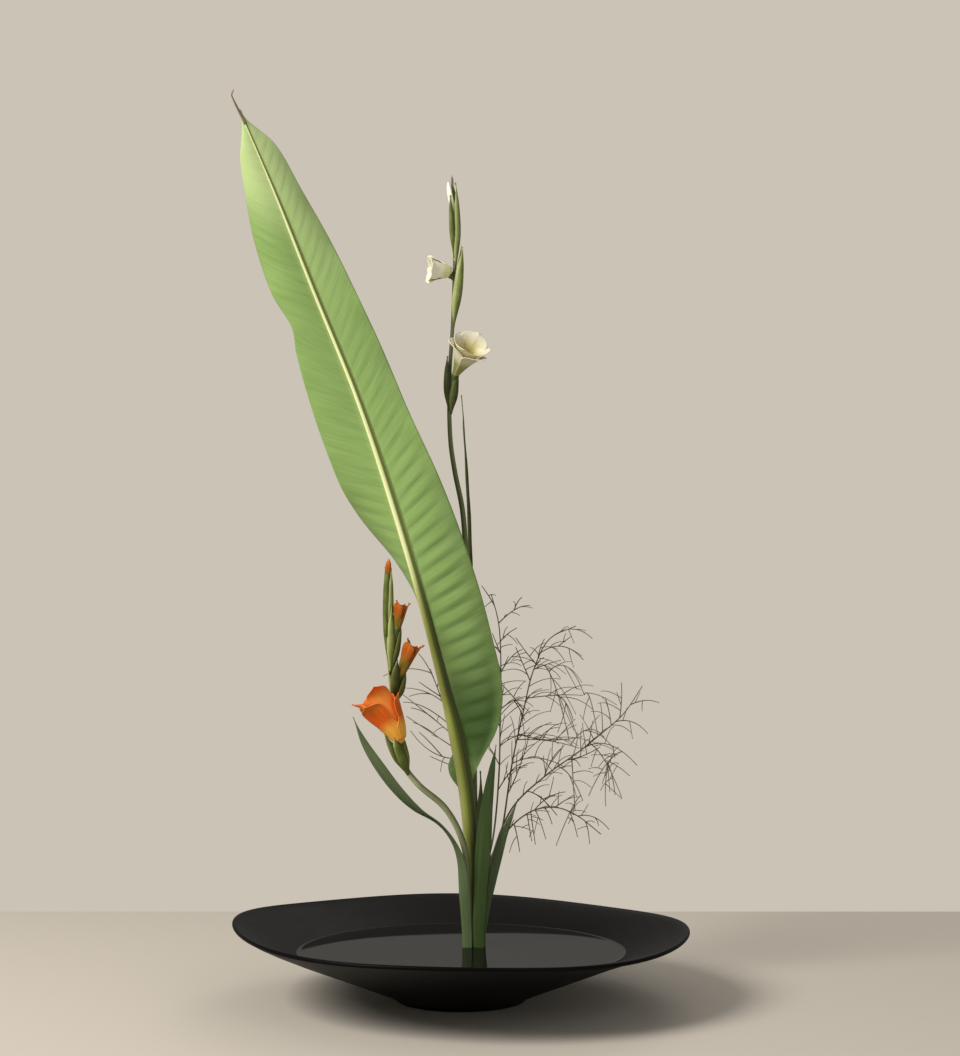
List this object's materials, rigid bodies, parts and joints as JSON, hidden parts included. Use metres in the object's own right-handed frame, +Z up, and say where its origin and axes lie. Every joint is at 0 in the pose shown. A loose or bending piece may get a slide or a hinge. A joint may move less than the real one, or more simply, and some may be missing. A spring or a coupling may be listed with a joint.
{
  "type": "ikebana arrangement",
  "caption": "Ikebana arrangement: a tall paddle leaf, white and orange gladiolus, sword leaves and airy asparagus sprays standing in a needle holder in a shallow black bowl of water.",
  "frame": {"origin": "middle of the bowl's foot, where it meets the table", "axes": "+Z up, the arrangement's front faces -Y, the tall leaf leans towards -X and forward"},
  "size_m": [0.4, 0.4, 0.7893],
  "materials": {
    "bowl_glaze": "gloss",
    "water": "gloss",
    "holder_metal": "satin",
    "leaf_green": "satin",
    "stem_green": "satin",
    "white_petal": "satin",
    "orange_petal": "satin",
    "sword_green": "satin",
    "spray_olive": "matte"
  },
  "bodies": {
    "root": {"bowl": "bowl_glaze", "water": "water", "needle_holder": "holder_metal", "tall_leaf": "leaf_green", "white_gladiolus_stem": "stem_green", "white_bloom_open": "white_petal", "white_bloom_half_open": "white_petal", "white_bud_tip": "white_petal", "orange_gladiolus_stem": "stem_green", "orange_bloom_open": "orange_petal", "orange_bloom_middle": "orange_petal", "orange_bloom_upper": "orange_petal", "orange_bud_tip": "orange_petal", "sword_leaf_left": "sword_green", "sword_leaf_centre": "sword_green", "sword_leaf_right": "sword_green", "asparagus_spray_left": "spray_olive", "asparagus_spray_middle": "spray_olive", "asparagus_spray_right": "spray_olive", "asparagus_spray_outer": "spray_olive", "asparagus_spray_low": "spray_olive"}
  },
  "joints": []
}
